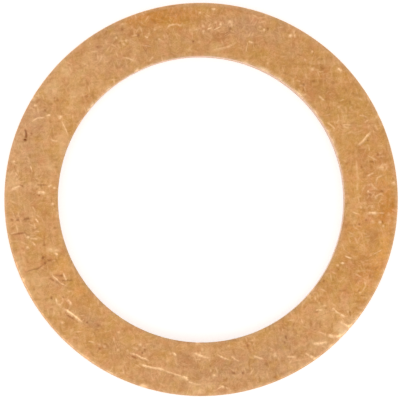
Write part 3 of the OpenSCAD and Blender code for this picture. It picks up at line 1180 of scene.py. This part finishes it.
def edge_colour(point, colour):
    """The colour of a point of the upper face, with the painted reflection and shade along both edges
    and the painted highlights of their glints.
    """
    r = radius_of(point)
    # Painted light along the edges: a paler, greyer reflection along the outer one and a greyer,
    # duller shade along the hole's
    colour = colour.lerp(tints["rim"], 0.55 * nearness(r - outside_r, 0.20 * MM))
    colour = colour.lerp(tints["painted shade at the hole"], 0.80 * nearness(bore_r - r, 0.13 * MM))
    if r < bore_r + near_edge:
        return colour.lerp(tints["painted highlight"], glint_at(point, hole_glints, bore_r))
    if r > outside_r - near_edge:
        return colour.lerp(tints["painted highlight"], glint_at(point, rim_glints, outside_r))
    return colour


# This layer holds the tarnish clouds together with painted shade, reflection and highlights
tarnish_and_painted_light = mesh.verts.layers.float_color.new("tarnish_and_painted_light")
for v in mesh.verts:
    upper = v.co.z > thickness / 2
    colour = clouds_at(v.co, upper)
    if upper:
        colour = edge_colour(v.co, colour)
    v[tarnish_and_painted_light] = (*colour, 1)
print("tarnish painted at", len(mesh.verts), "points")

# %% [markdown]
# Which finish goes where.
#
# The two flat faces and their rounded corners share one finish, and the two punched walls share
# another. Each face of the mesh takes its finish from where it lies and which way it points.

# %% The ring as an object
FACE, WALL = range(2)
flat_enough = 0.75
corner_depth = 0.45 * outside_roll


def finish_of(face):
    """The finish of one face of the mesh, from its place and the way that it points."""
    in_corner = face.calc_center_median().z > thickness - corner_depth
    return FACE if in_corner or abs(face.normal.z) > flat_enough else WALL


bmesh.ops.recalc_face_normals(mesh, faces=mesh.faces)
for face in mesh.faces:
    face.material_index = finish_of(face)
    face.smooth = True

ring_mesh = bpy.data.meshes.new("copper_ring")
mesh.to_mesh(ring_mesh)
mesh.free()
copper_ring = bpy.data.objects.new("copper_ring", ring_mesh)
bpy.context.collection.objects.link(copper_ring)
triangles = sum(len(p.vertices) - 2 for p in ring_mesh.polygons)
print("copper ring of", len(ring_mesh.vertices), "points and", triangles, "triangles")

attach(copper_ring, "root")
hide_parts("seal_ring")

# %% [markdown]
# The copper finishes.
#
# A material is built from nodes. One short helper adds a node and fills its inputs, which keeps each
# finish readable. All patterns read Object coordinates, turned into millimetres, so that a number
# such as 3 per millimetre means what it says.

# %% Helpers for the finishes
def add(tree, kind, inputs=(), **settings):
    """Adds a shader node. inputs pairs a socket's name or number with a value or another socket."""
    made = tree.nodes.new("ShaderNode" + kind)
    for name, value in settings.items():
        setattr(made, name, value)
    for name, value in dict(inputs).items():
        if isinstance(value, bpy.types.NodeSocket):
            tree.links.new(value, made.inputs[name])
        else:
            made.inputs[name].default_value = value
    return made


def math_of(tree, operation, a, b=0.0, c=0.0):
    """One sum on two or three numbers."""
    return add(tree, "Math", {0: a, 1: b, 2: c}, operation=operation).outputs[0]


def sum_of(tree, start, parts):
    """Adds patterns to a first one, each times its own amount."""
    total = start
    for pattern, amount in parts:
        total = math_of(tree, "MULTIPLY_ADD", pattern, amount, total)
    return total


def centred(tree, pattern):
    """Moves a pattern from 0..1 down to -0.5..0.5."""
    return math_of(tree, "SUBTRACT", pattern, 0.5)


def mix_of(tree, share, a, b, blend="MIX"):
    """Goes from colour a to colour b by a share, or multiplies a by b instead."""
    made = add(tree, "Mix", {0: share, 6: a, 7: b}, data_type="RGBA", blend_type=blend)
    return made.outputs[2]


def clamp_range(tree, value, low, high, to_low=0.0, to_high=1.0):
    """Maps low..high to to_low..to_high and holds it there."""
    inputs = {"Value": value, "From Min": low, "From Max": high, "To Min": to_low, "To Max": to_high}
    return add(tree, "MapRange", inputs).outputs["Result"]


def in_mm(tree):
    """Object coordinates in millimetres."""
    place = add(tree, "TexCoord").outputs["Object"]
    return add(tree, "VectorMath", {0: place, "Scale": 1 / MM}, operation="SCALE").outputs[0]


def noise_of(tree, place, per_mm, detail, rough, shift=0.0):
    """Smooth noise from 0 to 1, with so many bumps to a millimetre."""
    moved = add(tree, "Mapping", {"Vector": place, "Location": (shift, shift, shift)}).outputs[0]
    inputs = {"Vector": moved, "Scale": per_mm, "Detail": detail, "Roughness": rough}
    return add(tree, "TexNoise", inputs, noise_dimensions="3D").outputs["Fac"]


def layer_of(tree, name):
    """A layer that was painted on the mesh."""
    return add(tree, "Attribute", attribute_name=name).outputs["Fac"]


def new_metal(name):
    """A new material, its node tree, and the places on the ring in millimetres."""
    material = bpy.data.materials.new(name)
    material.use_nodes = True
    tree = material.node_tree
    return material, tree, in_mm(tree)


def wire_metal(tree, colour, rough, height, depth):
    """Plugs a colour, a roughness and a fine relief of one depth into the shader of a metal."""
    shader = tree.nodes["Principled BSDF"]
    bump = add(tree, "Bump", {"Height": height, "Strength": 1.0, "Distance": depth})
    tree.links.new(colour, shader.inputs["Base Color"])
    tree.links.new(rough, shader.inputs["Roughness"])
    tree.links.new(bump.outputs[0], shader.inputs["Normal"])
    shader.inputs["Metallic"].default_value = 1.0


# %% [markdown]
# The tones of the copper.
#
# Bare copper is bright and pink. A thin tarnish turns it rosy or golden, a thick one takes its light
# away, and dirt in a scratch is a deep brown, which is also painted as shade along the sides of a
# bright scratch. The tones are written as they look under plain light, because a metal's base colour
# is what it gives back of the light that it gets.

# %% Copper tones
pale_copper = (0.915, 0.525, 0.246, 1)
deep_copper = (0.376, 0.160, 0.040, 1)
rose_copper = (0.650, 0.286, 0.128, 1)
gold_copper = (0.582, 0.306, 0.072, 1)
bare_copper = (0.995, 0.622, 0.330, 1)
land_copper = (0.760, 0.440, 0.215, 1)
dragged_copper = (0.550, 0.265, 0.115, 1)
broken_copper = (0.600, 0.305, 0.160, 1)
# The brown of dirt, also used as painted shade beside bright marks
grime_and_shade_brown = (0.200, 0.045, 0.004, 1)
# These two are laid over another tone like thin washes
warm_wash = (1.12, 0.93, 0.96, 1)
cool_wash = (0.90, 1.05, 1.02, 1)

# %% [markdown]
# Hairlines.
#
# The finest scratches are far too many to carve. Noise that is squeezed across and stretched along
# makes streaks, and keeping only its highest crests turns the streaks into hairlines. A second,
# broad noise breaks them into short lengths. Several layers at different turns cross each other
# like the scratches of years in a drawer.

# %% Hairline scratches as a pattern
def hairlines(tree, place, degrees, length, width, shift):
    """Fine lines of one direction, length and width in millimetres: 1 on a line and 0 off it."""
    turned = add(tree, "Mapping", {
        "Vector": place,
        "Location": (shift, 2 * shift, 0),
        "Rotation": (0, 0, math.radians(degrees)),
        "Scale": (length, width, 1),
    }, vector_type="TEXTURE").outputs[0]
    streak = add(tree, "TexNoise", {"Vector": turned, "Scale": 1.0, "Detail": 1.0}).outputs["Fac"]
    line = clamp_range(tree, streak, 0.60, 0.74)
    gaps = clamp_range(tree, noise_of(tree, place, 1.2, 2, 0.5, shift + 5), 0.42, 0.62)
    return math_of(tree, "MULTIPLY", line, gaps)


def crossed_hairlines(tree, place):
    """Six layers of hairlines, each at its own turn."""
    lines = 0.0
    for degrees, shift in ((12, 3), (-34, 17), (67, 29), (-71, 41), (38, 53), (95, 61)):
        layer = hairlines(tree, place, degrees, 1.0, 0.045, shift)
        lines = math_of(tree, "MAXIMUM", lines, layer)
    return lines


# %% [markdown]
# Creases.
#
# Between the scratches the face shows a faint net of crooked lines, like the creases of dried mud.
# A smooth noise crosses its own middle value along just such lines, so a thin slice round the middle
# draws them. Broad gaps keep the net from closing.

# %% Creases as a pattern
def creases(tree, place, per_mm, width, shift):
    """Fine crooked lines, where a noise crosses its own middle: 1 on a line and 0 off it."""
    moved = add(tree, "Mapping", {"Vector": place, "Location": (shift, shift, shift)}).outputs[0]
    inputs = {"Vector": moved, "Scale": per_mm, "Detail": 2.0, "Roughness": 0.55, "Distortion": 0.6}
    level = add(tree, "TexNoise", inputs).outputs["Fac"]
    off = math_of(tree, "ABSOLUTE", math_of(tree, "SUBTRACT", level, 0.5))
    line = clamp_range(tree, off, width, 0.0)
    gaps = clamp_range(tree, noise_of(tree, place, 1.7, 2, 0.5, shift + 9), 0.46, 0.60)
    return math_of(tree, "MULTIPLY", line, gaps)


# %% [markdown]
# Nicks and scuffs.
#
# Between the hairlines lie short nicks and soft scuffs, each one apart from the next. A pattern of
# cells has one point in every cell, and the ground near that point makes the stroke. The cells are
# long and narrow, so the strokes are too, and a chance for each cell leaves many of them empty.

# %% Nicks and scuffs as a pattern
def strokes(tree, place, turns, length, width, shift):
    """Separate strokes at several turns, from cells of one length and width: 1 inside, 0 outside."""
    found = 0.0
    for i, degrees in enumerate(turns):
        turned = add(tree, "Mapping", {
            "Vector": place,
            "Location": (shift + 7 * i, shift - 5 * i, 0),
            "Rotation": (0, 0, math.radians(degrees)),
            "Scale": (length, width, 2.0),
        }, vector_type="TEXTURE").outputs[0]
        cells = add(tree, "TexVoronoi", {"Vector": turned, "Scale": 1.0})
        inside = clamp_range(tree, cells.outputs["Distance"], 0.34, 0.08)
        chance = add(tree, "SeparateColor", {"Color": cells.outputs["Color"]}).outputs["Red"]
        layer = math_of(tree, "MULTIPLY", inside, clamp_range(tree, chance, 0.3, 0.9))
        found = math_of(tree, "MAXIMUM", found, layer)
    return found


# %% [markdown]
# The tarnished face.
#
# The painted layer holds the clouds, with the painted light and shade along the edges. Noise varies
# it further: two broad ones shift its hue, and six of all sizes, two of them drawn out into upright
# and level streaks, add up to one tone that turns it darker or paler. The hairlines, creases and
# strokes are then laid over it like thin coats, with the dirt, the painted shade beside bright marks
# and the bare copper of the carved marks on top.

# %% Tarnished copper before its scratches
def crests_and_hollows(tree, pattern, most):
    """Where a pattern rises above its middle, and where it sinks below it, as two shares."""
    above = clamp_range(tree, pattern, 0.5, 0.8, 0.0, most)
    below = clamp_range(tree, pattern, 0.5, 0.2, 0.0, most)
    return above, below


def copper_with_painted_light(tree, place, mottle, speckle):
    """The painted clouds and the painted light of the edges, with their hue and then their tone
    varied by noise.
    """
    colour = add(tree, "Attribute", attribute_name="tarnish_and_painted_light").outputs["Color"]
    rosy, golden = crests_and_hollows(tree, noise_of(tree, place, 1.5, 3, 0.6, 83), 0.75)
    colour = mix_of(tree, rosy, colour, rose_copper)
    colour = mix_of(tree, golden, colour, gold_copper)
    warm, cool = crests_and_hollows(tree, noise_of(tree, place, 2.5, 3, 0.6, 59), 0.45)
    colour = mix_of(tree, warm, colour, warm_wash, "MULTIPLY")
    colour = mix_of(tree, cool, colour, cool_wash, "MULTIPLY")

    upright = add(tree, "Mapping", {"Vector": place, "Scale": (1, 0.18, 1)}).outputs[0]
    level = add(tree, "Mapping", {"Vector": place, "Scale": (0.18, 1, 1)}).outputs[0]
    cloud = noise_of(tree, place, 0.9, 2, 0.5)
    grain = noise_of(tree, place, 14.0, 2, 0.6, 23)
    warp = noise_of(tree, upright, 4.5, 2, 0.5, 37)
    weft = noise_of(tree, level, 4.5, 2, 0.5, 43)
    patterns = [
        (cloud, 0.25), (mottle, 0.38), (speckle, 0.41), (grain, 0.48), (warp, 0.26), (weft, 0.28),
    ]
    tone = sum_of(tree, 0.5, [(centred(tree, pattern), amount) for pattern, amount in patterns])
    colour = mix_of(tree, clamp_range(tree, tone, 0.5, 0.0), colour, deep_copper)
    return mix_of(tree, clamp_range(tree, tone, 0.5, 1.0), colour, pale_copper)


# %% The tarnished face
def make_face_finish():
    """Satin copper, tarnished in clouds, speckled and crossed with fine scratches."""
    material, tree, place = new_metal("tarnished copper face")
    mottle = noise_of(tree, place, 2.4, 2, 0.5, 11)
    speckle = noise_of(tree, place, 6.0, 2, 0.5, 19)
    colour = copper_with_painted_light(tree, place, mottle, speckle)

    lines = crossed_hairlines(tree, place)
    ridges = creases(tree, place, 1.6, 0.03, 71)
    folds = creases(tree, place, 1.6, 0.03, 97)
    pits = strokes(tree, place, (5, -62, 48, 100), 0.9, 0.3, 31)
    scuffs = strokes(tree, place, (25, -40, 80, -12), 1.1, 0.36, 47)
    nicks = strokes(tree, place, (-28, 58, 8, -70, 100), 0.8, 0.2, 67)
    busy = clamp_range(tree, noise_of(tree, place, 0.8, 2, 0.5, 5), 0.44, 0.60)
    nicks = math_of(tree, "MULTIPLY", nicks, busy)
    grime_and_shade = layer_of(tree, "grime_and_shade")
    bare = layer_of(tree, "bare")
    coats = [
        (lines, 0.25, bare_copper),
        (ridges, 0.09, bare_copper),
        (folds, 0.32, deep_copper),
        (pits, 0.40, deep_copper),
        (scuffs, 0.20, pale_copper),
        (nicks, 0.50, bare_copper),
        # Dirt in dark marks, and painted shade along the sides of bright ones
        (grime_and_shade, 1.00, grime_and_shade_brown),
        (bare, 1.00, bare_copper),
    ]
    for pattern, amount, tone in coats:
        colour = mix_of(tree, math_of(tree, "MULTIPLY", pattern, amount), colour, tone)

    satin = clamp_range(tree, mottle, 0.3, 0.7, 0.50, 0.36)
    rough = sum_of(tree, satin, [(bare, -0.14), (grime_and_shade, 0.25)])
    relief = [(mottle, 2.0), (lines, -0.5), (ridges, 0.5), (folds, -0.5)]
    wire_metal(tree, colour, rough, sum_of(tree, speckle, relief), 0.0015 * MM)
    return material


# %% [markdown]
# The punched wall.
#
# A punch burnishes the upper part of the wall, and then the rest of the sheet breaks away. The land
# is bright, with upright lines where the tool has dragged over it. The band below is dull and grainy.
# The border between them is the mark of every punched part: it keeps its height on the whole, but it
# never runs straight.

# %% The ragged border of the break band
def torn_share(tree, place):
    """1 in the break band and 0 on the land, with a ragged border between them."""
    height = add(tree, "SeparateXYZ", {"Vector": place}).outputs["Z"]
    ragged = noise_of(tree, place, 1.8, 4, 0.65, 33)
    border = math_of(tree, "MULTIPLY_ADD", ragged, 0.36, break_h / MM - 0.18)
    return clamp_range(tree, math_of(tree, "SUBTRACT", height, border), 0.012, -0.012)


def between(tree, share, a, b):
    """Goes from number a to number b by a share."""
    return math_of(tree, "MULTIPLY_ADD", math_of(tree, "SUBTRACT", b, a), share, a)


# %% The punched wall
def make_wall_finish():
    """A bright land with fine upright drag lines, and a dull torn band below it."""
    material, tree, place = new_metal("punched copper wall")
    squeezed = add(tree, "Mapping", {"Vector": place, "Scale": (1, 1, 0.06)}).outputs[0]
    drag = noise_of(tree, squeezed, 16, 4, 0.75)
    cloud = noise_of(tree, place, 1.2, 3, 0.6, 7)
    tone = sum_of(tree, drag, [(centred(tree, cloud), 0.5)])
    land = mix_of(tree, clamp_range(tree, tone, 0.3, 0.7), dragged_copper, land_copper)

    grain = noise_of(tree, place, 16, 4, 0.7)
    clumps = noise_of(tree, place, 4, 2, 0.5, 13)
    rubble = sum_of(tree, grain, [(centred(tree, clumps), 0.8)])
    broken = mix_of(tree, clamp_range(tree, rubble, 0.3, 0.7), deep_copper, broken_copper)

    torn = torn_share(tree, place)
    colour = mix_of(tree, torn, land, broken)
    # Dirt, and painted shade beside bright marks, then their bare copper
    colour = mix_of(tree, layer_of(tree, "grime_and_shade"), colour, grime_and_shade_brown)
    colour = mix_of(tree, layer_of(tree, "bare"), colour, bare_copper)

    land_rough = clamp_range(tree, drag, 0.3, 0.7, 0.40, 0.24)
    torn_rough = clamp_range(tree, grain, 0.3, 0.7, 0.66, 0.50)
    rough = between(tree, torn, land_rough, torn_rough)
    lines = math_of(tree, "MULTIPLY", drag, 0.33)
    height = between(tree, torn, lines, math_of(tree, "SUBTRACT", rubble, 0.6))
    wire_metal(tree, colour, rough, height, 0.012 * MM)
    return material


for finish in (make_face_finish(), make_wall_finish()):
    ring_mesh.materials.append(finish)
    print("finish:", finish.name)

# %% [markdown]
# The floor.
#
# The ring lies on a white sheet, so bright in the photograph that it is pure white. Here the camera
# sees it glow a little, and so do reflections, while its own paint still takes the soft shadow of
# the ring.

# %% The white floor
floor_half = 400 * MM
floor_gap = 0.01 * MM
paper_grey = 0.8
paper_rough = 0.9
paper_glow = 0.45

floor_bm = bmesh.new()
bmesh.ops.create_grid(floor_bm, x_segments=1, y_segments=1, size=floor_half)
bmesh.ops.translate(floor_bm, verts=floor_bm.verts, vec=(0, 0, -floor_gap))
floor_mesh = bpy.data.meshes.new("floor")
floor_bm.to_mesh(floor_mesh)
floor_bm.free()
floor = bpy.data.objects.new("floor", floor_mesh)
bpy.context.collection.objects.link(floor)


def any_ray(tree, *kinds):
    """1 for a ray of one of these kinds, such as Camera, and 0 for any other."""
    rays = add(tree, "LightPath")
    found = 0.0
    for kind in kinds:
        found = math_of(tree, "MAXIMUM", found, rays.outputs[f"Is {kind} Ray"])
    return found


paper = bpy.data.materials.new("white paper")
paper.use_nodes = True
tree = paper.node_tree
shader = tree.nodes["Principled BSDF"]
shader.inputs["Base Color"].default_value = (paper_grey, paper_grey, paper_grey, 1)
shader.inputs["Roughness"].default_value = paper_rough
shader.inputs["Specular IOR Level"].default_value = 0.0
shader.inputs["Emission Color"].default_value = (1, 1, 1, 1)
glow = math_of(tree, "MULTIPLY", any_ray(tree, "Camera", "Glossy", "Transmission"), paper_glow)
tree.links.new(glow, shader.inputs["Emission Strength"])
floor_mesh.materials.append(paper)
print("floor of", round(2 * floor_half / MM), "mm a side")

# %% [markdown]
# The light.
#
# A light tent lights the ring from all sides, so the world itself is the lamp. It shows as pure white
# to the camera, and it lights the ring at a plain level, at which a tone renders about as it is
# written. Two soft lamps from below the middle of the picture give the scratches their bright sides.

# %% The light
world = bpy.data.worlds.new("light tent")
bpy.context.scene.world = world
world.use_nodes = True
tree = world.node_tree
sky = tree.nodes["Background"]
tent_level = 0.93
white_level = 1.0
in_view = any_ray(tree, "Camera", "Transmission")
strength = clamp_range(tree, in_view, 0.0, 1.0, tent_level, white_level)
sky.inputs["Color"].default_value = (1, 1, 1, 1)
tree.links.new(strength, sky.inputs["Strength"])


def softbox(name, azimuth, elevation, size, power):
    """A square lamp that looks at the ring, with its bearing and height in degrees."""
    lamp = bpy.data.lights.new(name, "AREA")
    lamp.size = size
    lamp.energy = power
    box = bpy.data.objects.new(name, lamp)
    bearing, rise = math.radians(azimuth), math.radians(elevation)
    level = math.cos(rise)
    way = Vector((math.cos(bearing) * level, math.sin(bearing) * level, math.sin(rise)))
    box.location = way * softbox_distance
    box.rotation_mode = "QUATERNION"
    box.rotation_quaternion = way.to_track_quat("Z", "Y")
    bpy.context.collection.objects.link(box)


softbox_distance = 300 * MM
softbox("softbox left", 215, 52, 180 * MM, 0.11)
softbox("softbox right", 318, 50, 160 * MM, 0.08)

bpy.context.scene.view_settings.view_transform = "Standard"
print("light tent and 2 softboxes ready")
